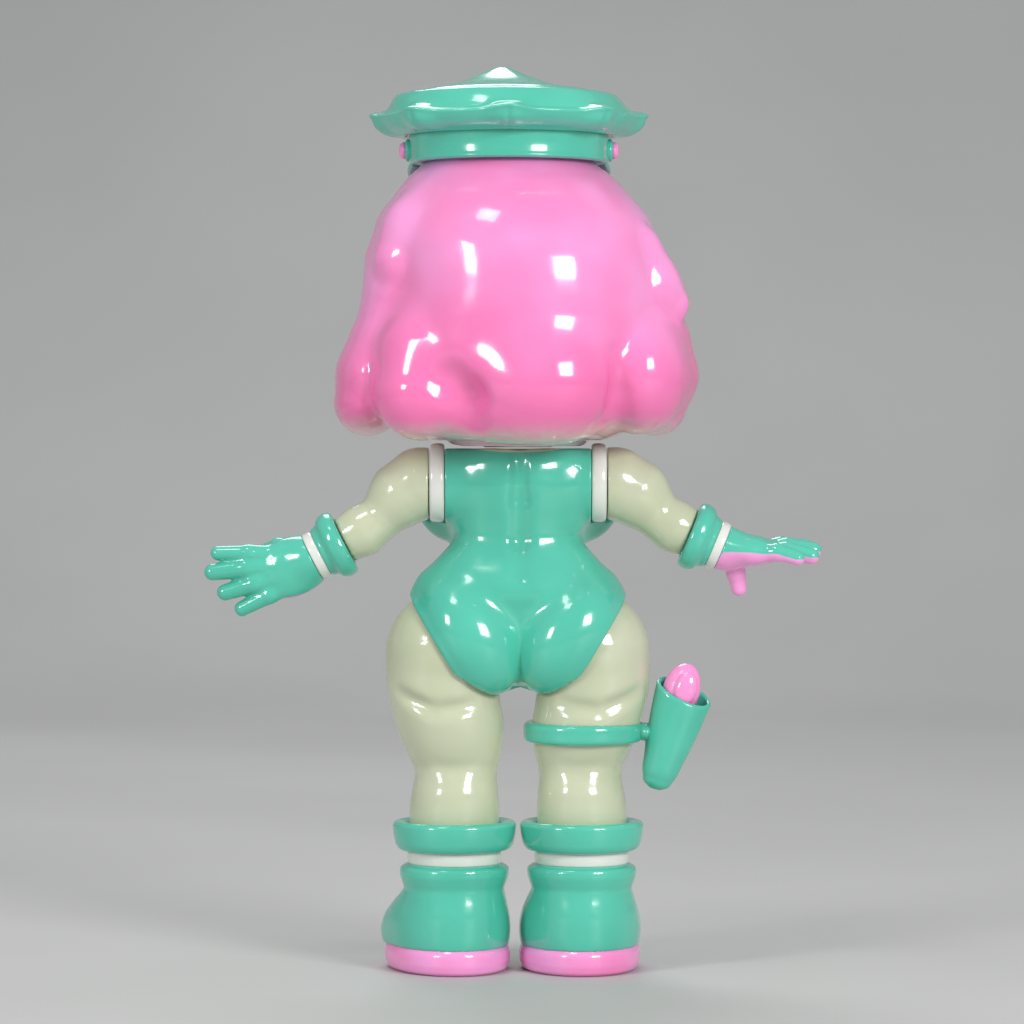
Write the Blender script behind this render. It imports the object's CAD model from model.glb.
"""Looks of the vinyl art toy: a glossy soft-vinyl figure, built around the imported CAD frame.

Shapes are worked out in millimetres as distance fields, meshed here, and scaled to metres.
The figure faces -Y, its left side is +X, and the camera stands behind it at +Y.
"""
import math

import bpy
import numpy as np
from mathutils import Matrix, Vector


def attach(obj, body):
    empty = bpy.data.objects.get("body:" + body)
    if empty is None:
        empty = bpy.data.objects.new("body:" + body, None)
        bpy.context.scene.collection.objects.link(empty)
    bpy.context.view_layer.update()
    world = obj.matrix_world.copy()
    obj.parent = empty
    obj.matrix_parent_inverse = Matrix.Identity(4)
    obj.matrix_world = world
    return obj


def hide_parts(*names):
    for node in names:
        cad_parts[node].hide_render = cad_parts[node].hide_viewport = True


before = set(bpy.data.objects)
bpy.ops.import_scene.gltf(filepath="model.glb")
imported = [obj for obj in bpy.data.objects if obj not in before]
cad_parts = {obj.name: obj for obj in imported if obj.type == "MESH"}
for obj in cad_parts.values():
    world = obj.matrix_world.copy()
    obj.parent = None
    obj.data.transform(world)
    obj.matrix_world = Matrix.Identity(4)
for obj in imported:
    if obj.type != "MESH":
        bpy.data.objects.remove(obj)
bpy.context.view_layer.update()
MM = 0.001
SIDES = (("left", 1), ("right", -1))


# ---------------------------------------------------------------- distance fields


def length(v):
    """The length of each row."""
    return np.sqrt((v * v).sum(axis=-1))


def point(*xyz):
    """A place or a direction as an array."""
    return np.array(xyz, float)


def ellipsoid(p, centre, radii):
    """Close to the distance from an ellipsoid."""
    q = p - point(*centre)
    radii = point(*radii)
    a = length(q / radii)
    b = np.maximum(length(q / (radii * radii)), 1e-9)
    return a * (a - 1.0) / b


def turned(p, centre, axis, degrees):
    """Points turned backwards about an axis, so that a shape looks turned forwards."""
    axis = point(*axis) / np.linalg.norm(axis)
    angle = math.radians(-degrees)
    q = p - point(*centre)
    c, s = math.cos(angle), math.sin(angle)
    spun = q * c + np.cross(axis, q) * s + np.outer(q @ axis, axis) * (1.0 - c)
    return spun + point(*centre)


def rod(p, a, b, ra, rb):
    """A round-ended rod whose radius runs from ra to rb."""
    a, b = point(*a), point(*b)
    along = np.clip((p - a) @ (b - a) / ((b - a) @ (b - a)), 0.0, 1.0)
    return length(p - a - along[:, None] * (b - a)) - (ra + along * (rb - ra))


def join(a, b, soft):
    """The union of two shapes with a soft crease."""
    if soft <= 0:
        return np.minimum(a, b)
    mix = np.clip(0.5 + 0.5 * (b - a) / soft, 0.0, 1.0)
    return b + (a - b) * mix - soft * mix * (1.0 - mix)


def carve(a, b, soft):
    """Shape a with shape b taken out of it."""
    return -join(-a, b, soft)


def keep(a, b, soft):
    """What two shapes share."""
    return -join(-a, -b, soft)


def chain(p, beads, soft=0.0):
    """Rods through beads of (point, radius), softly joined."""
    shape = None
    for (a, ra), (b, rb) in zip(beads, beads[1:]):
        piece = rod(p, a, b, ra, rb)
        shape = piece if shape is None else join(shape, piece, soft)
    return shape


def through(at, places, values):
    """A smooth curve through values at rising places."""
    places = np.asarray(places, float)
    values = np.asarray(values, float)
    slopes = np.gradient(values, places)
    at = np.clip(at, places[0], places[-1])
    i = np.clip(np.searchsorted(places, at) - 1, 0, len(places) - 2)
    width = places[i + 1] - places[i]
    t = (at - places[i]) / width
    a, b = values[i], values[i + 1]
    da, db = slopes[i] * width, slopes[i + 1] * width
    return (
        a * (1 + 2 * t) * (1 - t) ** 2
        + da * t * (1 - t) ** 2
        + b * t * t * (3 - 2 * t)
        + db * t * t * (t - 1)
    )


def column(p, rows):
    """An upright body; each row is (height, left edge, right edge, back edge, front edge)."""
    table = np.array(sorted(rows), float)
    z = p[:, 2]
    left, right, back, front = (through(z, table[:, 0], table[:, k]) for k in range(1, 5))
    cx, cy = (left + right) / 2, (back + front) / 2
    rx, ry = (left - right) / 2, (back - front) / 2
    around = np.sqrt(((p[:, 0] - cx) / rx) ** 2 + ((p[:, 1] - cy) / ry) ** 2)
    side = (around - 1.0) * np.minimum(rx, ry)
    return np.maximum(side, np.maximum(table[0, 0] - z, z - table[-1, 0]))


# ---------------------------------------------------------------- meshes

CORNERS = np.array([(i, j, k) for i in (0, 1) for j in (0, 1) for k in (0, 1)])


def mesh_object(name, points, faces, body, stands_for, material):
    """A finished piece: a smooth mesh in metres that rides on a body of the frame."""
    mesh = bpy.data.meshes.new(name)
    mesh.from_pydata((np.asarray(points) * MM).tolist(), [], [list(map(int, f)) for f in faces])
    mesh.update()
    mesh.polygons.foreach_set("use_smooth", [True] * len(mesh.polygons))
    mesh.materials.append(material)
    piece = bpy.data.objects.new(name, mesh)
    bpy.context.scene.collection.objects.link(piece)
    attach(piece, body)
    if stands_for:
        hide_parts(*stands_for)
    return piece


def crossing_cells(values):
    """Cells of the grid that the surface passes through."""
    inside = values < 0
    shape = tuple(n - 1 for n in values.shape)
    count = np.zeros(shape, np.int8)
    for i, j, k in CORNERS:
        count += inside[i : i + shape[0], j : j + shape[1], k : k + shape[2]]
    return (count > 0) & (count < 8)


def surface(field, low, high, cell):
    """Surface nets: one point in each crossed cell, and one face across each crossed grid edge."""
    low, high = point(*low), point(*high)
    size = np.ceil((high - low) / cell).astype(int) + 1
    axes = [low[k] + cell * np.arange(size[k]) for k in range(3)]
    values = np.empty(size)
    flat = np.stack(np.meshgrid(axes[1], axes[2], indexing="ij"), -1).reshape(-1, 2)
    slab = 16
    for start in range(0, size[0], slab):
        xs = axes[0][start : start + slab]
        block = np.empty((len(xs) * len(flat), 3))
        block[:, 0] = np.repeat(xs, len(flat))
        block[:, 1:] = np.tile(flat, (len(xs), 1))
        values[start : start + slab] = field(block).reshape(len(xs), size[1], size[2])
    active = crossing_cells(values)
    number = np.full(active.shape, -1)
    cells = np.argwhere(active)
    number[active] = np.arange(len(cells))
    total = np.zeros((len(cells), 3))
    hits = np.zeros(len(cells))
    for a, ca in enumerate(CORNERS):
        for b, cb in enumerate(CORNERS):
            if a < b and abs(ca - cb).sum() == 1:
                va = values[tuple((cells + ca).T)]
                vb = values[tuple((cells + cb).T)]
                cut = (va < 0) != (vb < 0)
                t = np.where(cut, va / np.where(cut, va - vb, 1.0), 0.0)
                total += cut[:, None] * (ca + t[:, None] * (cb - ca))
                hits += cut
    points = low + cell * (cells + total / hits[:, None])
    faces = []
    for axis in range(3):
        u, v = [(1, 2), (2, 0), (0, 1)][axis]
        inside = values < 0
        first = np.take(inside, range(size[axis] - 1), axis)
        second = np.take(inside, range(1, size[axis]), axis)
        for flip, crossed in ((False, first & ~second), (True, ~first & second)):
            at = np.argwhere(crossed)
            at = at[(at[:, u] > 0) & (at[:, v] > 0)]
            at = at[(at[:, u] < size[u] - 1) & (at[:, v] < size[v] - 1)]
            ring = []
            for du, dv in ((-1, -1), (0, -1), (0, 0), (-1, 0)):
                near = at.copy()
                near[:, u] += du
                near[:, v] += dv
                ring.append(number[tuple(near.T)])
            ring = np.stack(ring, 1)
            faces.append(ring[:, ::-1] if flip else ring)
    faces = np.concatenate(faces)
    return settle(field, points, cell), faces


def settle(field, points, cell):
    """Moves each point on to the surface."""
    step = 0.05
    for _ in range(3):
        value = field(points)
        slope = np.stack(
            [(field(points + step * e) - field(points - step * e)) / (2 * step) for e in np.eye(3)], 1
        )
        steep = np.maximum((slope * slope).sum(1), 0.05)
        move = -(value / steep)[:, None] * slope
        reach = np.maximum(length(move), 1e-9)
        move *= np.minimum(1.0, 0.6 * cell / reach)[:, None]
        points = points + move
    return points


def sculpt(name, field, low, high, cell, body, stands_for, material):
    """A piece meshed from its distance field."""
    points, faces = surface(field, low, high, cell)
    return mesh_object(name, points, faces, body, stands_for, material)


def lathe_grid(profile, turns):
    """Rings of points; profile(angle) gives the (x, y, z) rows of one section."""
    rings = [np.asarray(profile(2 * math.pi * i / turns)) for i in range(turns)]
    return np.array(rings)


def close_grid(grid, loop):
    """Points and faces of a grid that closes around; loop also closes each profile."""
    turns, steps = grid.shape[:2]
    faces = []
    last = steps if loop else steps - 1
    for i in range(turns):
        for j in range(last):
            a, b = i, (i + 1) % turns
            c, d = j, (j + 1) % steps
            faces.append((a * steps + c, b * steps + c, b * steps + d, a * steps + d))
    return grid.reshape(-1, 3), faces


# ---------------------------------------------------------------- materials


def node_tree(name):
    """A new node material, its tree and its shader."""
    material = bpy.data.materials.new(name)
    material.use_nodes = True
    tree = material.node_tree
    return material, tree, tree.nodes["Principled BSDF"]


def noise(tree, coordinates, scale, detail=3.0):
    """Soft blotches between 0 and 1."""
    texture = tree.nodes.new("ShaderNodeTexNoise")
    texture.inputs["Scale"].default_value = scale
    texture.inputs["Detail"].default_value = detail
    tree.links.new(coordinates, texture.inputs["Vector"])
    return texture.outputs["Fac"]


def spread(tree, value, low, high, out_low, out_high, smooth=True):
    """Maps a value from one range to another."""
    ramp = tree.nodes.new("ShaderNodeMapRange")
    ramp.interpolation_type = "SMOOTHSTEP" if smooth else "LINEAR"
    ramp.inputs["From Min"].default_value = low
    ramp.inputs["From Max"].default_value = high
    ramp.inputs["To Min"].default_value = out_low
    ramp.inputs["To Max"].default_value = out_high
    tree.links.new(value, ramp.inputs["Value"])
    return ramp.outputs["Result"]


def math_node(tree, kind, a, b):
    """One sum in the tree; each input is a number or a socket."""
    maths = tree.nodes.new("ShaderNodeMath")
    maths.operation = kind
    for socket, value in zip(maths.inputs, (a, b)):
        if isinstance(value, (int, float)):
            socket.default_value = value
        else:
            tree.links.new(value, socket)
    return maths.outputs[0]


def mix(tree, amount, a, b):
    """Blends two colours; each is a tuple or a socket."""
    node = tree.nodes.new("ShaderNodeMix")
    node.data_type = "RGBA"
    tree.links.new(amount, node.inputs["Factor"])
    for socket, value in ((node.inputs["A"], a), (node.inputs["B"], b)):
        if isinstance(value, tuple):
            socket.default_value = (*value, 1.0)
        else:
            tree.links.new(value, socket)
    return node.outputs["Result"]


def vinyl(name, colour, shade, creases=0.0, tint=None):
    """Glossy cast vinyl: slightly uneven colour, orange-peel gloss and paint gathered in hollows."""
    material, tree, shader = node_tree(name)
    place = tree.nodes.new("ShaderNodeTexCoord").outputs["Object"]
    broad = noise(tree, place, 28.0, 2.0)
    base = mix(tree, spread(tree, broad, 0.35, 0.65, 0.0, 0.55), colour, shade)
    if creases:
        bent = tree.nodes.new("ShaderNodeNewGeometry").outputs["Pointiness"]
        base = mix(tree, spread(tree, bent, 0.40, 0.495, creases, 0.0), base, shade)
    if tint:
        base = tint(tree, place, base)
    tree.links.new(base, shader.inputs["Base Color"])
    fine = noise(tree, place, 300.0, 2.0)
    tree.links.new(spread(tree, fine, 0.3, 0.7, 0.13, 0.2), shader.inputs["Roughness"])
    shader.inputs["IOR"].default_value = 1.52
    shader.inputs["Coat Weight"].default_value = 0.5
    shader.inputs["Coat Roughness"].default_value = 0.06
    shader.inputs["Subsurface Weight"].default_value = 0.08
    shader.inputs["Subsurface Radius"].default_value = (0.004, 0.004, 0.004)
    shader.inputs["Subsurface Scale"].default_value = 0.5
    peel = noise(tree, place, 160.0, 1.0)
    bump = tree.nodes.new("ShaderNodeBump")
    bump.inputs["Strength"].default_value = 0.05
    bump.inputs["Distance"].default_value = 0.0004
    tree.links.new(peel, bump.inputs["Height"])
    tree.links.new(bump.outputs["Normal"], shader.inputs["Normal"])
    return material


def separate(tree, vector):
    """X, Y and Z of a vector."""
    parts = tree.nodes.new("ShaderNodeSeparateXYZ")
    tree.links.new(vector, parts.inputs["Vector"])
    return parts.outputs


GREEN = (0.085, 0.53, 0.39)
GREEN_DEEP = (0.05, 0.42, 0.30)
PINK = (0.93, 0.35, 0.70)
PINK_DEEP = (0.86, 0.14, 0.38)
CREAM = (0.56, 0.59, 0.42)
CREAM_DEEP = (0.46, 0.51, 0.33)
WHITE = (0.74, 0.75, 0.70)
WHITE_DEEP = (0.62, 0.66, 0.58)


def normal_parts(tree):
    """X, Y and Z of the surface's direction."""
    return separate(tree, tree.nodes.new("ShaderNodeNewGeometry").outputs["Normal"])


def overspray(tree, place, base):
    """The sprayed colour thins out to bare cream under the hem of the hair."""
    parts = separate(tree, place)
    base = mix(tree, spread(tree, parts["Z"], 0.150, 0.190, 0.75, 0.0), base, PINK_DEEP)
    down = spread(tree, normal_parts(tree)["Z"], -0.95, -0.45, 0.85, 0.0)
    low = spread(tree, parts["Z"], 0.1405, 0.1500, 1.0, 0.0)
    speckle = spread(tree, noise(tree, place, 420.0), 0.3, 0.7, 0.75, 1.0)
    amount = math_node(tree, "MULTIPLY", math_node(tree, "MULTIPLY", down, low), speckle)
    return mix(tree, amount, base, (0.72, 0.60, 0.52))


def left_palm(tree, place, base):
    """Pink sprayed on the palm of the left glove, a little past its lower edge."""
    facing = normal_parts(tree)
    near = spread(tree, separate(tree, place)["X"], 0.0620, 0.0660, -0.9, 0.0)
    away = math_node(tree, "SUBTRACT", math_node(tree, "MULTIPLY", facing["Z"], near), facing["Y"])
    return mix(tree, spread(tree, away, 0.25, 0.45, 0.0, 1.0), base, PINK)


def right_palm(tree, place, base):
    """Pink sprayed on the palm of the right glove and all over its thumb."""
    under = spread(tree, normal_parts(tree)["Z"], -0.25, -0.05, 1.0, 0.0)
    thumb = spread(tree, separate(tree, place)["Z"], 0.1070, 0.1085, 1.0, 0.0)
    return mix(tree, math_node(tree, "MAXIMUM", under, thumb), base, PINK)


def collar(tree, place, base):
    """Bare cream along the top edge of the suit."""
    parts = separate(tree, place)
    bow = math_node(tree, "MULTIPLY", math_node(tree, "MULTIPLY", parts["X"], parts["X"]), 6.0)
    height = math_node(tree, "SUBTRACT", parts["Z"], bow)
    return mix(tree, spread(tree, height, 0.1378, 0.1381, 0.0, 1.0), base, CREAM)


green = vinyl("green_vinyl_paint", GREEN, GREEN_DEEP, 0.5)
suit = vinyl("suit_paint", GREEN, GREEN_DEEP, 0.5, collar)
pink = vinyl("pink_vinyl_paint", PINK, PINK_DEEP, 0.5)
hair_pink = vinyl("pink_hair_paint", PINK, PINK_DEEP, 0.75, overspray)
cream = vinyl("glow_vinyl", CREAM, CREAM_DEEP, 0.6)
white = vinyl("white_vinyl", WHITE, WHITE_DEEP, 0.4)
glove_left_paint = vinyl("glove_left_paint", GREEN, GREEN_DEEP, 0.5, left_palm)
glove_right_paint = vinyl("glove_right_paint", GREEN, GREEN_DEEP, 0.5, right_palm)


# ---------------------------------------------------------------- hair and head

SKULL = ((0.0, -3.0, 172.5), (31.5, 29.5, 31.0))
HAIR_ROWS = [
    # height, left, right, back, front
    (139.4, 14.0, -16.0, 20.0, -12.0),
    (141.5, 24.0, -24.0, 27.0, -22.0),
    (145.0, 33.0, -31.0, 32.0, -27.0),
    (151.0, 36.0, -36.5, 36.3, -31.0),
    (158.0, 37.2, -38.0, 38.2, -32.5),
    (165.0, 37.8, -38.6, 39.4, -33.5),
    (172.0, 36.4, -38.8, 40.2, -35.0),
    (180.0, 35.2, -38.6, 40.5, -36.6),
    (188.0, 35.8, -38.2, 39.9, -37.4),
    (194.3, 37.0, -36.9, 38.2, -37.2),
    (200.7, 35.6, -34.2, 35.0, -35.0),
    (207.0, 32.2, -28.9, 29.8, -30.0),
    (210.3, 29.5, -25.8, 26.6, -27.0),
    (213.6, 26.0, -21.4, 23.4, -23.8),
    (217.0, 21.0, -16.4, 18.5, -19.0),
    (219.3, 8.0, -4.0, 6.0, -6.0),
]


BACK_LOBES = [
    # centre, radii, softness of the crease
    ((-6.0, 26.0, 156.4), (19.6, 17.6, 17.0), 6.0),
    ((-2.0, 21.5, 148.6), (19.5, 16.5, 9.3), 3.0),
    ((-31.6, 14.0, 158.5), (12.4, 16.4, 16.0), 3.4),
]
LEFT_LOCK = [
    ((18.0, 13.0, 202.0), 9.0),
    ((25.4, 14.6, 196.0), 9.2),
    ((29.6, 15.8, 188.6), 7.6),
]
RIGHT_LOCK = [
    ((-21.0, 12.0, 198.0), 8.0),
    ((-29.0, 12.5, 189.5), 8.2),
    ((-35.0, 12.0, 182.0), 6.9),
    ((-40.2, 10.5, 177.0), 4.8),
]
DIMPLE = [
    ((23.8, 38.4, 158.8), 2.4),
    ((18.4, 37.0, 155.8), 4.6),
    ((13.6, 36.8, 152.0), 4.8),
    ((13.8, 35.2, 146.6), 3.8),
    ((14.6, 31.4, 140.0), 3.2),
]
BACK_HOLLOW = [
    ((31.0, 38.5, 170.0), 2.0),
    ((14.0, 45.5, 168.0), 2.4),
    ((-4.0, 47.6, 170.5), 2.0),
]
RIGHT_CREASE = [
    ((-25.6, 33.8, 163.0), 0.8),
    ((-25.8, 31.8, 153.0), 1.6),
    ((-24.0, 29.0, 142.0), 2.0),
]
LEFT_LOBE = [
    ((21.0, 17.0, 174.0), 8.0),
    ((24.4, 19.5, 164.0), 11.0),
    ((25.0, 20.6, 153.6), 12.6),
]
LEFT_MASS = [
    ((29.6, -2.0, 196.0), 8.5),
    ((31.4, -2.0, 188.0), 8.7),
    ((32.3, -2.0, 180.0), 8.5),
    ((34.4, -2.0, 172.0), 7.9),
    ((36.8, -2.5, 165.7), 8.1),
    ((38.9, -3.0, 159.0), 8.9),
    ((40.0, -3.0, 151.2), 9.0),
]
RIGHT_MASS = [
    ((-33.0, -2.0, 178.0), 9.0),
    ((-36.8, -3.0, 167.0), 8.6),
    ((-38.7, -3.0, 158.4), 8.8),
    ((-36.6, -3.0, 150.4), 8.2),
]
FRINGE = [
    [((-21.0, -25.0, 201.0), 8.0), ((2.0, -33.5, 197.5), 7.2), ((19.0, -30.0, 187.5), 4.5)],
    [((22.0, -22.0, 203.0), 7.5), ((27.0, -25.5, 190.0), 5.5), ((27.5, -25.5, 176.0), 3.6)],
    [((-22.0, -22.5, 202.0), 7.5), ((-27.5, -25.0, 189.0), 5.8), ((-27.5, -25.5, 175.0), 3.6)],
]
HEM = [
    # distance from the neck's axis, lowest height
    (0.0, 139.4),
    (17.2, 139.4),
    (18.8, 141.1),
    (24.6, 141.1),
    (26.2, 139.9),
    (38.0, 139.9),
    (41.0, 142.1),
    (60.0, 142.1),
]


def side_mass(p, beads):
    """Hair over the ear: rods that reach more than twice as far along Y as across."""
    squashed = [((x, 0.42 * y, z), r) for (x, y, z), r in beads]
    return chain(p * point(1, 0.42, 1), squashed, 3.0)


def hair(p):
    """A thick glossy bob: one smooth crown that breaks into fat rounded locks at the hem."""
    shape = column(p, HAIR_ROWS)
    shape = join(shape, chain(p, LEFT_LOCK, 4.0), 2.4)
    shape = join(shape, chain(p, LEFT_LOBE, 4.0), 4.5)
    for centre, radii, soft in BACK_LOBES:
        shape = join(shape, ellipsoid(p, centre, radii), soft)
    shape = join(shape, chain(p, RIGHT_LOCK, 4.0), 0.9)
    shape = join(shape, side_mass(p, LEFT_MASS), 2.6)
    shape = join(shape, side_mass(p, RIGHT_MASS), 2.6)
    shape = carve(shape, chain(p, DIMPLE, 2.0), 3.4)
    shape = carve(shape, chain(p, BACK_HOLLOW, 3.0), 7.0)
    shape = carve(shape, chain(p, RIGHT_CREASE, 2.0), 4.6)
    # front: the face opening, then the fringe swept over it
    opening = keep(np.abs(p[:, 0]) - 22.0, p[:, 2] - 189.0, 14.0)
    opening = keep(opening, p[:, 1] + 9.0, 4.0)
    shape = carve(shape, opening, 4.0)
    for beads in FRINGE:
        shape = join(shape, chain(p, beads, 4.0), 1.5)
    shape = carve(shape, ellipsoid(p, *SKULL), 0.0)
    # a clear throat around the neck, and a hem that passes over the shoulder rings and the cuffs
    throat = length(p[:, :2]) - 9.6
    shape = carve(shape, np.maximum(throat, p[:, 2] - 150.0), 0.6)
    hem = np.interp(length(p[:, :2]), *zip(*HEM))
    return keep(shape, hem - p[:, 2], 0.8)


def head(p):
    """A plain doll's head: smooth, with a small nose, a soft chin and a neck."""
    shape = ellipsoid(p, *SKULL)
    shape = join(shape, ellipsoid(p, (0.0, -21.0, 156.0), (15.0, 11.0, 10.0)), 8.0)
    for side in (1, -1):
        shape = join(shape, ellipsoid(p, (side * 15.0, -21.5, 162.0), (10.5, 8.5, 9.0)), 6.0)
        shape = carve(shape, ellipsoid(p, (side * 11.5, -34.6, 172.5), (7.4, 3.4, 6.2)), 3.0)
    shape = join(shape, ellipsoid(p, (0.0, -33.0, 166.5), (2.3, 2.6, 2.2)), 2.4)
    shape = join(shape, rod(p, (-2.6, -31.6, 158.4), (2.6, -31.6, 158.4), 1.0, 1.0), 1.6)
    shape = join(shape, rod(p, (-1.7, -31.2, 156.4), (1.7, -31.2, 156.4), 1.1, 1.1), 1.6)
    shape = carve(shape, rod(p, (-3.4, -33.2, 157.5), (3.4, -33.2, 157.5), 0.35, 0.35), 0.5)
    neck = np.maximum(length(p[:, :2]) - 9.4, np.maximum(139.3 - p[:, 2], p[:, 2] - 156.0))
    return join(shape, neck, 2.5)


def eye(side):
    """A domed eye set in its socket."""

    def dome(p):
        return ellipsoid(p, (side * 11.6, -29.9, 171.8), (6.3, 2.9, 6.6))

    return dome


def eye_paint(side):
    """A plain green iris with a dark pupil and one light dot."""

    def tint(tree, place, base):
        rings = (
            ((side * 0.0116, 0.1714), 0.0043, (0.02, 0.26, 0.20)),
            ((side * 0.0116, 0.1714), 0.0024, (0.01, 0.012, 0.012)),
            ((side * 0.0116 + 0.0014, 0.1734), 0.0010, (0.9, 0.9, 0.9)),
        )
        parts = separate(tree, place)
        for (x, z), radius, colour in rings:
            dx = math_node(tree, "SUBTRACT", parts["X"], x)
            dz = math_node(tree, "SUBTRACT", parts["Z"], z)
            dx_squared = math_node(tree, "MULTIPLY", dx, dx)
            dz_squared = math_node(tree, "MULTIPLY", dz, dz)
            reach = math_node(tree, "SQRT", math_node(tree, "ADD", dx_squared, dz_squared), 0.0)
            inside = spread(tree, reach, radius - 0.0002, radius + 0.0002, 1.0, 0.0)
            base = mix(tree, inside, base, colour)
        return base

    return tint


def brow(side):
    """A thin raised eyebrow."""

    def arc(p):
        inner, middle, outer = (6.4, -30.2, 183.2), (11.2, -28.8, 184.6), (16.6, -26.7, 182.6)
        beads = [((side * x, y, z), r) for (x, y, z), r in ((inner, 0.45), (middle, 0.7), (outer, 0.4))]
        return chain(p, beads, 1.0)

    return arc


def scaled_square(tree, value, centre, radius):
    """The square of a place's distance from a centre, counted in radii."""
    offset = math_node(tree, "SUBTRACT", value, centre)
    return math_node(tree, "POWER", math_node(tree, "MULTIPLY", offset, 1 / radius), 2.0)


def fade(tree, value, centre, reach, strength):
    """Full strength at a centre, and nothing from a reach away."""
    offset = math_node(tree, "SUBTRACT", value, centre)
    return spread(tree, math_node(tree, "ABSOLUTE", offset, 0.0), 0.0, reach, strength, 0.0)


def face_paint(tree, place, base):
    """Pink lips and a faint blush."""
    parts = separate(tree, place)
    wide = scaled_square(tree, parts["X"], 0.0, 0.0041)
    tall = scaled_square(tree, parts["Z"], 0.1574, 0.0021)
    mouth = spread(tree, math_node(tree, "ADD", wide, tall), 0.85, 1.1, 1.0, 0.0)
    front = spread(tree, parts["Y"], -0.0285, -0.0275, 1.0, 0.0)
    lips = math_node(tree, "MULTIPLY", front, mouth)
    across = math_node(tree, "ABSOLUTE", parts["X"], 0.0)
    blush_x = fade(tree, across, 0.0170, 0.0060, 1.0)
    blush_z = fade(tree, parts["Z"], 0.1620, 0.0050, 0.45)
    base = mix(tree, math_node(tree, "MULTIPLY", blush_x, blush_z), base, PINK)
    return mix(tree, lips, base, PINK_DEEP)


face = vinyl("face_paint", CREAM, CREAM_DEEP, 0.3, face_paint)
brow_paint = vinyl("brow_paint", (0.50, 0.07, 0.20), (0.40, 0.05, 0.16))
sculpt("hair", hair, (-52, -45, 137), (52, 50, 222), 0.8, "head", ["hair_shell"], hair_pink)
sculpt("head", head, (-33, -37, 137), (33, 29, 206), 0.75, "head", ["head_shell"], face)

for word, side in SIDES:
    paint = vinyl(f"eye_{word}_paint", (0.80, 0.80, 0.78), (0.74, 0.75, 0.73), 0.0, eye_paint(side))
    x = side * 11.6
    sculpt(
        f"eye_{word}", eye(side), (x - 8, -35, 163), (x + 8, -26, 181), 0.35,
        "head", [], paint,
    )
    low = min(side * 5.0, side * 18.0)
    sculpt(
        f"brow_{word}", brow(side), (low, -33, 180), (low + 13.0, -25, 187), 0.25,
        "head", [], brow_paint,
    )

# ---------------------------------------------------------------- torso

SHOULDER_Z = 129.9
HIP = (19.0, 0.5, 85.5)
HIP_LEAN = math.radians(38.3)
HIP_BALL, HIP_SOCKET, HIP_SHELL = 15.9, 16.15, 17.3
RING_X = 19.4
ARM_X = 23.65
CLEFT = [
    ((-0.5, 20.6, 99.0), 0.4),
    ((-0.5, 20.2, 93.0), 1.2),
    ((-0.5, 18.6, 84.0), 1.6),
    ((-0.5, 14.0, 73.0), 2.2),
]
SPINE = [
    ((-0.5, 13.4, 140.0), 1.3),
    ((-0.5, 13.5, 126.0), 1.7),
    ((-0.5, 12.7, 115.0), 1.8),
    ((-0.5, 16.6, 106.0), 1.2),
]
TORSO_ROWS = [
    (76.0, 9.0, -9.4, 4.6, -7.0),
    (77.5, 12.5, -13.0, 7.6, -9.5),
    (81.5, 18.5, -19.0, 9.8, -12.6),
    (87.0, 23.5, -24.0, 11.8, -14.6),
    (92.4, 26.4, -26.4, 13.4, -15.6),
    (96.5, 28.2, -28.0, 15.0, -15.9),
    (100.0, 28.7, -28.7, 16.2, -15.6),
    (103.0, 27.7, -27.4, 16.2, -14.8),
    (105.8, 25.9, -25.4, 15.4, -13.9),
    (108.6, 22.8, -22.2, 14.4, -12.9),
    (111.5, 20.0, -19.6, 13.4, -12.2),
    (115.3, 17.0, -16.6, 12.4, -11.8),
    (119.5, 18.0, -18.2, 12.4, -12.2),
    (124.0, 19.2, -19.6, 13.0, -12.8),
    (131.0, 19.3, -19.6, 13.6, -12.9),
    (136.0, 18.8, -19.2, 13.0, -11.6),
    (139.05, 16.6, -17.0, 11.6, -9.8),
]


def hip_axis(side):
    return point(side * math.sin(HIP_LEAN), 0.0, -math.cos(HIP_LEAN))


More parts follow.
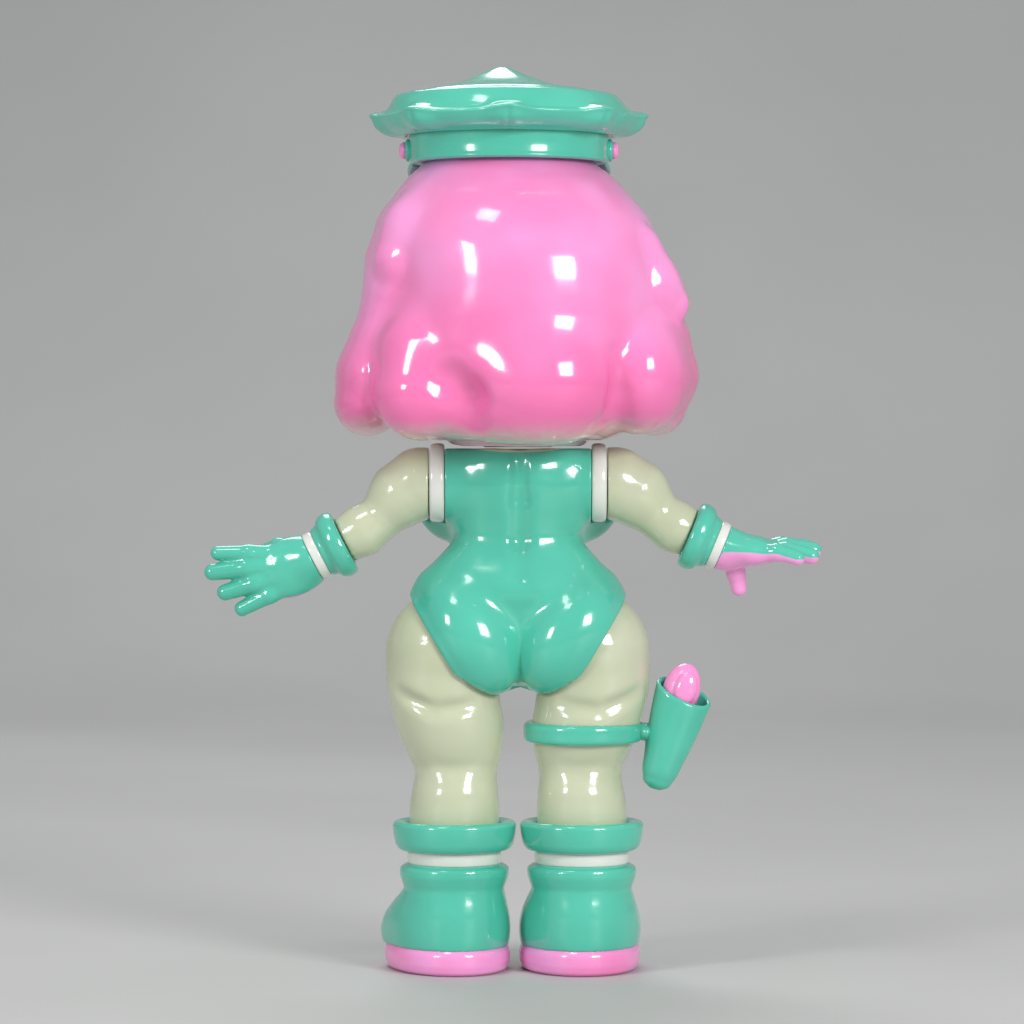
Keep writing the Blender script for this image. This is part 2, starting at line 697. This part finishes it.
def torso(p):
    """The trunk in its suit: spine groove, waist dimples, round seat and full front."""
    shape = column(p, TORSO_ROWS)
    cheeks = []
    for side in (1, -1):
        middle = (side * 12.8 - 0.4, 8.0, 89.2)
        seat = turned(p, middle, (0, 1, 0), side * 34)
        cheeks.append(ellipsoid(seat, middle, (12.2, 12.8, 17.0)))
    shape = join(shape, join(*cheeks, 0.5), 3.6)
    shape = carve(shape, chain(p, CLEFT, 1.0), 1.6)
    for side in (1, -1):
        bust = ellipsoid(p, (side * 14.6, -12.4, 123.8), (12.4, 9.4, 10.6))
        shape = join(shape, bust, 7.0)
        dimple = ellipsoid(p, (side * 8.6 - 0.6, 19.4, 115.0), (6.6, 5.2, 6.0))
        shape = carve(shape, dimple, 6.0)
    shape = carve(shape, chain(p, SPINE, 2.0), 3.4)
    chest = ellipsoid(p, (0.0, -12.6, 124.6), (14.0, 7.0, 8.6))
    shape = join(shape, chest, 6.0)
    belly = ellipsoid(p, (0.0, -11.6, 98.0), (15.0, 4.2, 14.0))
    shape = join(shape, belly, 9.0)
    across = np.sqrt(p[:, 1] ** 2 + (p[:, 2] - SHOULDER_Z) ** 2)
    bar = np.maximum(across - 10.0, np.abs(p[:, 0]) - RING_X)
    shape = join(shape, bar, 2.0)
    shape = keep(shape, p[:, 2] - 139.0, 0.5)
    for side in (1, -1):
        centre = point(side * HIP[0], HIP[1], HIP[2])
        shell = length(p - centre) - HIP_SHELL
        shape = join(shape, shell, 1.2)
    for side in (1, -1):
        centre = point(side * HIP[0], HIP[1], HIP[2])
        own = side * p[:, 0] > 0
        leg_line = (p - centre) @ hip_axis(side) + 5.2
        cheek = (side * p[:, 0] - 28.4) * 0.855 - (p[:, 2] - 98.9) * 0.519
        back = np.clip((p[:, 1] + 1.0) / 9.0, 0.0, 1.0)
        back = back * back * (3 - 2 * back)
        edge = np.where(own, leg_line * (1 - back) + cheek * back, -9.0)
        shape = keep(shape, edge, 0.9)
        socket = np.minimum(
            length(p - centre) - HIP_SOCKET,
            np.maximum(length((p - centre)[:, :2]) - HIP_SOCKET, p[:, 2] - HIP[2]),
        )
        shape = carve(shape, socket, 0.3)
        ring = np.maximum(across - 10.75, RING_X - side * p[:, 0])
        shape = carve(shape, ring, 0.3)
        arm_sweep = np.maximum(across - 12.8, 23.4 - side * p[:, 0])
        shape = carve(shape, arm_sweep, 0.8)
    hole = np.maximum(length(p[:, :2]) - 7.2, 134.0 - p[:, 2])
    return carve(shape, hole, 0.3)


sculpt("torso", torso, (-31, -32, 71), (31, 23, 141), 0.5, "torso", ["torso_shell"], suit)

# ---------------------------------------------------------------- legs

LEG_ROWS = [
    (36.3, 28.7, 5.1, 11.9, -11.9),
    (39.5, 28.9, 5.0, 11.95, -11.9),
    (44.6, 28.7, 5.0, 12.4, -11.6),
    (48.5, 28.1, 5.3, 12.2, -11.2),
    (51.8, 27.5, 5.6, 11.2, -11.0),
    (54.6, 27.8, 5.2, 10.8, -11.4),
    (57.4, 29.2, 4.5, 11.8, -12.2),
    (60.5, 30.5, 4.0, 13.0, -12.8),
    (63.7, 31.8, 3.7, 13.9, -13.3),
    (67.0, 32.9, 3.8, 14.6, -13.7),
    (71.0, 34.0, 4.5, 15.0, -14.0),
    (76.0, 34.8, 5.0, 15.3, -14.2),
    (82.0, 35.0, 4.6, 15.5, -14.6),
    (88.0, 34.4, 4.2, 15.8, -15.0),
]


def leg(p):
    """One thigh and calf; the top is a ball inside the hip."""
    shape = column(p, LEG_ROWS)
    ball = length(p - point(*HIP)) - HIP_BALL
    shape = join(shape, ball, 0.8)
    knee = ellipsoid(p, (17.0, -9.0, 54.0), (7.0, 3.6, 6.0))
    shape = join(shape, knee, 5.0)
    bend = chain(p, [((7.0, 11.6, 56.0), 0.5), ((16.5, 12.9, 54.2), 0.9), ((27.0, 11.2, 55.8), 0.5)], 1.0)
    shape = carve(shape, bend, 3.0)
    fold = chain(p, [((31.5, 10.4, 74.5), 0.3), ((22.0, 15.5, 70.2), 0.9), ((11.0, 13.8, 71.8), 0.3)], 1.0)
    return carve(shape, fold, 3.6)


def mirrored(field):
    """The same shape on the figure's other side."""

    def other(p):
        return field(p * point(-1, 1, 1))

    return other


for word, side in SIDES:
    low_x, high_x = sorted((side * 1, side * 37))
    sculpt(
        f"leg_{word}_skin", leg if side > 0 else mirrored(leg), (low_x, -18, 35), (high_x, 19, 104), 0.6,
        f"leg_{word}", [f"leg_{word}"], cream,
    )

# ---------------------------------------------------------------- arms and hands

WRISTS = {"left": (46.1, 114.4, 27.0), "right": (45.4, 116.4, 22.7)}


def arm_field(word, beads):
    """An arm through beads of (distance from the middle, height, radius), cut flat at both ends."""
    x, z, drop = WRISTS[word]
    side = 1 if word == "left" else -1
    out = point(side * math.cos(math.radians(drop)), 0.0, -math.sin(math.radians(drop)))
    mouth = point(side * x, 0.0, z)

    def arm(p):
        shape = chain(p, [((side * bx, 0.0, bz), r) for bx, bz, r in beads], 1.4)
        shape = np.maximum(shape, ARM_X - side * p[:, 0])
        return np.maximum(shape, (p - mouth) @ out + 0.25)

    return arm


ARMS = {
    "left": (
        (20.0, 129.9, 9.25),
        (26.0, 129.7, 9.25),
        (31.0, 126.6, 8.6),
        (37.4, 119.9, 5.9),
        (41.2, 117.2, 6.7),
        (48.0, 113.5, 6.0),
    ),
    "right": (
        (20.0, 129.9, 9.25),
        (26.0, 129.7, 9.3),
        (31.4, 126.9, 8.8),
        (38.0, 120.6, 6.2),
        (41.6, 118.3, 6.8),
        (48.0, 115.4, 5.9),
    ),
}
for word, side in SIDES:
    low_x, high_x = sorted((side * 22, side * 49))
    sculpt(
        f"arm_{word}_skin", arm_field(word, ARMS[word]), (low_x, -11, 106), (high_x, 11, 141), 0.5,
        f"arm_{word}", [f"arm_{word}"], cream,
    )

FINGERS_LEFT = (
    ((9.0, 5.4, 0.0), (14.5, 8.6, 0.9), (21.9, 12.4, 0.4), 2.5, 1.9),
    ((10.0, 2.6, 0.0), (17.0, 5.4, 0.9), (25.4, 8.5, 0.2), 2.9, 2.25),
    ((10.0, -0.8, 0.0), (17.0, 0.8, 0.8), (24.9, 2.2, -0.2), 2.9, 2.2),
    ((8.0, -3.8, 0.0), (14.5, -3.7, 0.4), (22.9, -3.7, -0.6), 2.7, 2.05),
)
THUMB_LEFT = ((2.5, 4.0, -2.0), (7.0, 6.5, -6.0), (11.0, 7.0, -8.5), 3.0, 2.2)
FINGERS_RIGHT = (
    ((8.0, 4.4, 1.6), (13.5, 6.4, 4.4), (19.0, 8.4, 5.0), 2.6, 1.9),
    ((9.0, 1.7, 2.2), (16.0, 2.4, 5.6), (22.6, 3.0, 6.9), 2.8, 2.1),
    ((9.0, -1.6, 2.4), (16.0, -2.1, 6.6), (22.9, -2.4, 8.6), 2.8, 2.2),
    ((8.0, -4.4, 2.2), (14.5, -6.2, 6.4), (21.0, -7.8, 8.8), 2.6, 2.0),
)
THUMB_RIGHT = ((3.0, -3.4, -1.5), (6.4, -4.8, -5.0), (8.6, -6.0, -8.3), 2.9, 2.2)


def glove_field(word, fingers, thumb, lift):
    """A gloved hand in its own frame: along the hand, across it, and out of its back."""
    x, z, drop = WRISTS[word]
    side = 1 if word == "left" else -1
    angle = math.radians(drop)
    out = point(side * math.cos(angle), 0.0, -math.sin(angle))
    rise = point(side * math.sin(angle), 0.0, math.cos(angle))
    base = point(side * x, 0.0, z) + out * 9.5
    across, through_palm = (rise, point(0, 1, 0)) if word == "left" else (point(0, 1, 0), rise)

    def glove(p):
        q = p - base
        local = np.stack([q @ out, q @ across, q @ through_palm], 1)
        bent = local - np.outer(np.maximum(local[:, 0], 0.0), (0.0, 0.0, lift))
        shape = rod(local, (-1.0, 0, 0), (1.0, 0, 0), 6.0, 6.0)
        shape = join(shape, ellipsoid(bent, (6.4, 0.2, 0.0), (8.6, 7.9, 4.6)), 2.5)
        shape = join(shape, ellipsoid(bent, (3.6, -4.0, -1.6), (5.0, 3.4, 3.2)), 2.0)
        for low, middle, tip, r0, r1 in fingers:
            shape = join(shape, chain(local, [(low, r0), (middle, (r0 + r1) / 2), (tip, r1)], 1.0), 1.1)
        low, middle, tip, r0, r1 = thumb
        shape = join(shape, chain(local, [(low, r0), (middle, r1 + 0.2), (tip, r1)], 1.0), 1.4)
        return np.maximum(shape, -local[:, 0])

    return glove


sculpt(
    "glove_left_hand", glove_field("left", FINGERS_LEFT, THUMB_LEFT, 0.0),
    (50, -14, 91), (86, 9, 119), 0.4, "hand_left", ["glove_left"], glove_left_paint,
)
sculpt(
    "glove_right_hand", glove_field("right", FINGERS_RIGHT, THUMB_RIGHT, 0.27),
    (-84, -13, 96), (-50, 13, 122), 0.4, "hand_right", ["glove_right"], glove_right_paint,
)


def ring_piece(name, middle, axis, outline, body, stands_for, material, turns=96):
    """A turned ring; the outline is a closed list of (radius, distance along the axis)."""
    axis = Vector(axis).normalized()
    other = axis.orthogonal().normalized()
    third = axis.cross(other)
    outline = np.asarray(outline, float)
    a, b, c = (np.array(v[:]) for v in (other, third, axis))
    rings = []
    for i in range(turns):
        t = 2 * math.pi * i / turns
        spoke = math.cos(t) * a + math.sin(t) * b
        rings.append(point(*middle) + outline[:, :1] * spoke + outline[:, 1:] * c)
    points, faces = close_grid(np.array(rings), True)
    return mesh_object(name, points, faces, body, stands_for, material)


def rounded(corners, radius, steps=6):
    """A closed outline with every corner turned by an arc."""
    path = []
    count = len(corners)
    for i in range(count):
        before, here, after = (np.array(corners[(i + k) % count], float) for k in (-1, 0, 1))
        a = (before - here) / np.linalg.norm(before - here)
        b = (after - here) / np.linalg.norm(after - here)
        reach = min(radius, np.linalg.norm(before - here) * 0.48, np.linalg.norm(after - here) * 0.48)
        start, end = here + a * reach, here + b * reach
        for k in range(steps + 1):
            t = k / steps
            path.append((1 - t) ** 2 * start + 2 * t * (1 - t) * here + t * t * end)
    return np.array(path)


for word, side in SIDES:
    x, z, drop = WRISTS[word]
    angle = math.radians(drop)
    out = (side * math.cos(angle), 0.0, -math.sin(angle))
    mouth = (side * x, 0.0, z)
    cuff = [
        (6.3, 0.6), (6.9, 0.0), (8.6, 0.0), (9.3, 1.9), (8.7, 4.2),
        (7.1, 5.2), (6.7, 7.0), (4.2, 7.0), (4.2, 0.6),
    ]
    ring_piece(
        f"cuff_{word}", mouth, out, rounded(cuff, 1.5),
        f"hand_{word}", [f"glove_cuff_{word}"], green,
    )
    band = [(5.0, 6.95), (6.5, 6.95), (6.6, 8.2), (6.5, 9.5), (5.0, 9.5)]
    ring_piece(
        f"band_{word}", mouth, out, rounded(band, 0.5),
        f"hand_{word}", [f"wrist_band_{word}"], white,
    )
    ring = [(5.2, 0.02), (10.3, 0.02), (10.6, 2.0), (10.2, 4.0), (5.2, 4.0)]
    ring_piece(
        f"armhole_ring_{word}", (side * RING_X, 0.0, SHOULDER_Z), (side, 0, 0), rounded(ring, 0.9),
        "torso", [f"shoulder_ring_{word}"], white,
    )

# ---------------------------------------------------------------- boots

BOOT_X = 16.9
UPPER_LOW = 6.7
BOOT_ROWS = [
    (5.8, 15.6, -15.6, 13.2, -29.2),
    (8.0, 16.1, -16.1, 13.8, -29.8),
    (12.0, 16.3, -16.3, 14.2, -29.6),
    (15.5, 15.7, -15.7, 14.3, -27.4),
    (18.5, 14.7, -14.7, 13.9, -22.5),
    (20.6, 13.9, -13.9, 13.5, -17.5),
    (22.4, 13.4, -13.4, 13.3, -14.6),
    (24.4, 14.0, -14.0, 13.9, -14.2),
    (26.6, 14.5, -14.5, 14.4, -14.5),
    (28.2, 14.0, -14.0, 13.9, -14.0),
    (29.0, 12.6, -12.6, 12.5, -12.6),
]
SOLE_ROWS = [
    (0.0, 14.2, -14.2, 12.0, -27.8),
    (0.5, 15.2, -15.2, 13.0, -28.9),
    (1.8, 16.0, -16.0, 13.8, -29.7),
    (3.9, 16.3, -16.3, 14.1, -30.0),
    (6.1, 16.0, -16.0, 13.8, -29.7),
    (7.0, 15.4, -15.4, 13.1, -29.0),
]


def boot_frame(side, toe_out):
    """Turns points from the figure's frame into the boot's own."""

    def into(p):
        q = turned(p, (side * BOOT_X, 0, 0), (0, 0, 1), side * toe_out)
        return (q - point(side * BOOT_X, 0, 0)) * point(side, 1, 1)

    return into


def foot_shape(q, rows):
    """A boot's plan is rounder at the toe and swings a little outwards."""
    swing = np.clip((-q[:, 1] - 4.0) / 26.0, 0.0, 1.0)
    bent = q.copy()
    bent[:, 0] -= 1.2 * swing
    return column(bent, rows)


for word, side, toe_out in (("left", 1, 13.0), ("right", -1, -4.0)):
    into = boot_frame(side, toe_out)

    def upper(p, into=into):
        q = into(p)
        shape = foot_shape(q, BOOT_ROWS)
        toe = ellipsoid(q, (1.0, -15.0, 9.5), (15.2, 14.6, 9.8))
        shape = join(shape, np.maximum(toe, UPPER_LOW - q[:, 2]), 3.0)
        stem = np.maximum(length(q[:, :2]) - 10.7, np.maximum(20.0 - q[:, 2], q[:, 2] - 36.0))
        shape = np.minimum(shape, stem)
        return np.maximum(shape, UPPER_LOW - q[:, 2])

    def sole(p, into=into):
        return foot_shape(into(p), SOLE_ROWS)

    low_x, high_x = (0, 39) if side > 0 else (-36, 3)
    sculpt(f"boot_{word}_upper", upper, (low_x - 2, -33, 4), (high_x, 17, 38), 0.6,
           f"boot_{word}", [f"boot_upper_{word}"], green)
    sculpt(f"boot_{word}_sole", sole, (low_x - 2, -33, -1.2), (high_x, 17, 8), 0.5,
           f"boot_{word}", [f"boot_sole_{word}"], pink)
    middle = (side * BOOT_X, 0.0, 0.0)
    band = [(10.8, 28.8), (12.4, 28.8), (12.55, 30.6), (12.4, 32.6), (10.8, 32.6)]
    ring_piece(
        f"boot_{word}_band", middle, (0, 0, 1), rounded(band, 0.6),
        f"boot_{word}", [f"boot_band_{word}"], white,
    )
    cuff = [
        (10.8, 32.4), (14.4, 32.4), (15.6, 33.8), (16.2, 36.4), (16.5, 39.4),
        (15.4, 40.4), (12.3, 39.6), (12.3, 36.0), (10.8, 36.0),
    ]
    ring_piece(
        f"boot_{word}_cuff", middle, (0, 0, 1), rounded(cuff, 1.2),
        f"boot_{word}", [f"boot_cuff_{word}"], green,
    )

# ---------------------------------------------------------------- strap, holster and wand


def strap(p):
    """A flat rounded band that fits the thigh."""
    thigh = mirrored(leg)(p)
    middle = point(-17.3, 0.3, 63.9)
    q = p - middle
    reach = length(q[:, :2] / point(1.0, 0.98)) - 15.9
    edge = np.abs(q[:, 2] + 0.02 * q[:, 1]) - 2.7
    band = keep(reach, edge, 1.6)
    return np.maximum(band, -thigh - 0.1)


HOLSTER_ORIGIN = (-37.4, 3.0, 53.0)
TILT = 17.0
HOLSTER_WALL = 1.2
WAND_HEAD = (-43.2, 3.0, 74.8)


def holster_local(p):
    """Points in the holster's own frame, +Z out of its mouth."""
    q = turned(p, HOLSTER_ORIGIN, (0, 1, 0), -TILT)
    return q - point(*HOLSTER_ORIGIN)


HOLSTER_ROWS = [
    (-4.4, 1.4, -1.4, 1.3, -1.3),
    (-3.6, 2.9, -2.9, 2.5, -2.5),
    (-1.4, 4.2, -4.2, 3.7, -3.7),
    (4.0, 5.4, -5.4, 4.7, -4.7),
    (14.0, 6.9, -7.1, 5.6, -5.6),
    (28.0, 8.2, -8.4, 6.3, -6.3),
]


def holster(p):
    """An open tapered pouch, held to the strap by a small bridge."""
    q = holster_local(p)
    shape = column(q, HOLSTER_ROWS)
    wall = HOLSTER_WALL
    rows = [(z, a - wall, b + wall, c - wall, d + wall) for z, a, b, c, d in HOLSTER_ROWS[1:]]
    inner = column(q - point(0, 0, 1.6), rows + [(34.0, 7.0, -7.0, 5.2, -5.2)])
    shape = carve(shape, inner, 0.5)
    bridge = ellipsoid(p, (-33.0, 1.5, 63.9), (2.6, 4.2, 2.5))
    shape = join(shape, np.maximum(bridge, -inner), 0.8)
    slope = math.radians(22)
    lip = (q[:, 2] - 22.6) * math.cos(slope) + q[:, 1] * math.sin(slope) - 0.12 * q[:, 0]
    shape = keep(shape, lip, 0.7)
    return carve(shape, mirrored(leg)(p) - 0.05, 0.1)


def wand(p):
    """The pink wand: an egg-shaped head with a raised pad, on a neck and a short shaft."""
    q = turned(p, WAND_HEAD, (0, 1, 0), -TILT) - point(*WAND_HEAD)
    head = ellipsoid(q, (0, 0, 0), (5.0, 4.1, 7.5))
    pad = ellipsoid(q, (-0.8, 3.5, 0.8), (3.0, 1.6, 4.6))
    shape = join(head, pad, 0.25)
    groove = rod(q, (0.0, 4.4, -4.4), (-0.3, 3.7, -9.0), 0.4, 0.5)
    neck = rod(q, (0, 0.8, -6.0), (0, 0, -13.0), 2.4, 2.2)
    shape = carve(join(shape, neck, 1.6), groove, 0.6)
    return join(shape, rod(q, (0, 0, -11.5), (0, 0, -14.5), 2.5, 2.4), 1.0)


sculpt("strap", strap, (-36, -18, 59), (1, 18, 69), 0.5, "leg_right", ["thigh_strap"], green)
sculpt(
    "holster_pouch", holster, (-54, -6, 46), (-29, 12, 79), 0.35,
    "leg_right", ["holster"], green,
)
sculpt("wand_toy", wand, (-50, -3, 54), (-33, 10, 84), 0.35, "wand", ["wand"], pink)

# ---------------------------------------------------------------- cap

CAP_X = 2.4
CAP = point(CAP_X, 0.0, 0.0)
BAND_LOW, BAND_HIGH = 214.5, 221.9
SECTORS = 8


def crown_profile(t):
    """Section of the crown at one angle: out along the underside, over the rim and up to the peak."""
    corner = (0.5 + 0.5 * math.cos(SECTORS * t)) ** 3
    off_seam = (t * SECTORS / (2 * math.pi) + 0.5) % 1.0 - 0.5
    seam = 0.7 * math.exp(-((off_seam / 0.02) ** 2))
    rim = 34.3 + 2.4 * corner + 0.4 * math.cos(t) ** 8
    rim_z = 226.1 + 0.9 * corner
    table = np.array([
        (22.6, 222.2),
        (26.3, 222.0),
        (28.2 - seam, 221.4),
        (rim - 5.2 - seam, 221.7),
        (rim - 2.9 - seam, 222.8),
        (rim - 1.4 - seam, 224.1),
        (rim - 0.5 - 0.5 * seam, rim_z - 0.9),
        (rim, rim_z),
        (rim - 0.4, rim_z + 0.5),
        (rim - 1.7, rim_z + 0.9),
        (31.9 + 0.6 * corner, 228.5),
        (30.8, 230.4),
        (29.6, 231.9),
        (28.4, 232.5),
        (26.8, 232.4),
        (25.2, 232.3),
        (23.8, 233.2),
        (22.2, 233.7),
        (20.0, 233.8),
        (16.0, 234.7),
        (10.6, 236.3),
        (6.0, 238.1),
        (3.4, 239.2),
        (1.6, 239.85),
        (0.02, 240.0),
    ])
    steps = np.arange(len(table))
    fine = np.linspace(0, len(table) - 1, 116)
    radius = through(fine, steps, table[:, 0])
    height = through(fine, steps, table[:, 1])
    lean = np.clip((height - 228.0) / 10.0, 0.0, 1.0) * 2.0
    return np.stack([CAP[0] + lean + radius * math.cos(t), radius * math.sin(t), height], 1)


crown_points, crown_faces = close_grid(lathe_grid(crown_profile, 384), False)
mesh_object("crown", crown_points, crown_faces, "cap", ["cap_crown"], green)

band_corners = [
    (22.4, BAND_LOW),
    (25.9, BAND_LOW - 0.1),
    (26.7, BAND_LOW + 0.5),
    (26.3, BAND_LOW + 1.4),
    (26.2, 218.0),
    (26.6, BAND_HIGH + 0.2),
    (22.4, BAND_HIGH + 0.2),
]
ring_piece(
    "band", (CAP_X, 0, 0), (0, 0, 1), rounded(band_corners, 0.8),
    "cap", ["cap_band"], green, 160,
)


def visor(p):
    """The peak: a crescent of a shallow cone that hugs the front of the band."""
    q = p - CAP
    reach = length(q[:, :2])
    top = 216.0 - 0.45 * (reach - 26.1)
    plate = np.abs(q[:, 2] - top + 1.0) - 1.0
    outline = length((q - point(0, -13.5, 0))[:, :2] * point(1.08, 1)) - 29.5
    shape = keep(plate, outline, 1.2)
    shape = carve(shape, reach - 25.6, 0.3)
    return keep(shape, q[:, 1] + 4.0, 1.0)


sculpt("peak", visor, (-30, -45, 204), (34, 1, 218), 0.5, "cap", ["cap_visor"], green)

for word, side in SIDES:
    start = (CAP_X + side * 25.4, 0.0, BAND_LOW + 3.4)
    base = [(0.02, 0.0), (3.0, 0.0), (3.0, 1.6), (2.5, 2.1), (0.02, 2.1)]
    ring_piece(
        f"button_seat_{word}", start, (side, 0, 0), rounded(base, 0.3),
        "cap", [f"cap_button_base_{word}"], green, 48,
    )
    knob = [(0.02, 2.0), (2.2, 2.0), (2.3, 2.6), (1.7, 3.5), (0.02, 3.9)]
    ring_piece(
        f"button_top_{word}", start, (side, 0, 0), rounded(knob, 0.4),
        "cap", [f"cap_button_{word}"], pink, 48,
    )


def badge(p):
    """A plain shield with a raised rim."""
    q = p - point(CAP_X, -26.9, 219.2)
    face = np.maximum(np.abs(q[:, 0]) - (3.6 - 0.3 * np.clip(-q[:, 2], 0, 9)), q[:, 2] - 2.7)
    face = keep(face, -2.9 - q[:, 2] + 0.1 * q[:, 0] ** 2, 1.0)
    plate = keep(face, np.abs(q[:, 1]) - 0.9, 0.6)
    inner = keep(face + 0.9, np.abs(q[:, 1] + 1.0) - 0.45, 0.3)
    return carve(plate, inner, 0.3)


sculpt("badge_plate", badge, (-4, -29, 213), (9, -25, 224), 0.25, "cap", ["cap_badge"], white)

# ---------------------------------------------------------------- stage, light and camera

floor_material, tree, shader = node_tree("studio_floor")
place = tree.nodes.new("ShaderNodeTexCoord").outputs["Object"]
cloud = spread(tree, noise(tree, place, 3.0), 0.3, 0.7, 0.0, 1.0)
tone = mix(tree, cloud, (0.50, 0.50, 0.49), (0.54, 0.54, 0.53))
tree.links.new(tone, shader.inputs["Base Color"])
shader.inputs["Roughness"].default_value = 0.55
SWEEP_WIDTH, SWEEP_BACK, SWEEP_FRONT, SWEEP_HEIGHT, SWEEP_BEND = 4.0, -1.6, 2.2, 2.2, 0.6
path = [(SWEEP_FRONT, 0.0)]
for k in range(13):
    a = k / 12 * math.pi / 2
    path.append((SWEEP_BACK + SWEEP_BEND * (1 - math.sin(a)), SWEEP_BEND * (1 - math.cos(a))))
path.append((SWEEP_BACK, SWEEP_HEIGHT))
verts = [(x, y, z) for y, z in path for x in (-SWEEP_WIDTH / 2, SWEEP_WIDTH / 2)]
quads = [(2 * i, 2 * i + 1, 2 * i + 3, 2 * i + 2) for i in range(len(path) - 1)]
sweep_mesh = bpy.data.meshes.new("studio_sweep")
sweep_mesh.from_pydata(verts, [], quads)
sweep_mesh.polygons.foreach_set("use_smooth", [True] * len(quads))
sweep_mesh.materials.append(floor_material)
sweep = bpy.data.objects.new("studio_sweep", sweep_mesh)
bpy.context.scene.collection.objects.link(sweep)


def softbox(name, place, target, width, height, power):
    """A white rectangular light aimed at a target."""
    light = bpy.data.lights.new(name, "AREA")
    light.shape = "RECTANGLE"
    light.size, light.size_y = width, height
    light.energy = power
    lamp = bpy.data.objects.new(name, light)
    lamp.location = place
    lamp.rotation_euler = (Vector(target) - Vector(place)).to_track_quat("-Z", "Y").to_euler()
    bpy.context.scene.collection.objects.link(lamp)


softbox("key", (-0.64, 0.92, 0.50), (0, 0, 0.14), 0.36, 0.36, 8.5)
softbox("fill", (0.80, 0.80, 0.44), (0, 0, 0.12), 0.18, 0.30, 3.6)
softbox("high", (0.30, 0.45, 1.00), (0, 0, 0.12), 0.22, 0.22, 1.6)
softbox("front", (0.15, -0.85, 1.15), (0, 0, 0.12), 0.6, 0.6, 5.0)
world = bpy.data.worlds.new("studio")
world.use_nodes = True
world.node_tree.nodes["Background"].inputs["Color"].default_value = (0.9, 0.93, 0.95, 1.0)
world.node_tree.nodes["Background"].inputs["Strength"].default_value = 0.5
bpy.context.scene.world = world
bpy.context.scene.view_settings.view_transform = "Standard"

EYE = Vector((0.0016, 1.101, 0.139))
AIM = Vector((0.0016, 0.0, 0.1221))
camera_data = bpy.data.cameras.new("camera")
camera_data.angle = math.radians(14.07)
camera_data.clip_end = 20.0
camera = bpy.data.objects.new("camera", camera_data)
camera.location = EYE
camera.rotation_euler = (AIM - EYE).to_track_quat("-Z", "Y").to_euler()
bpy.context.scene.collection.objects.link(camera)
bpy.context.scene.camera = camera
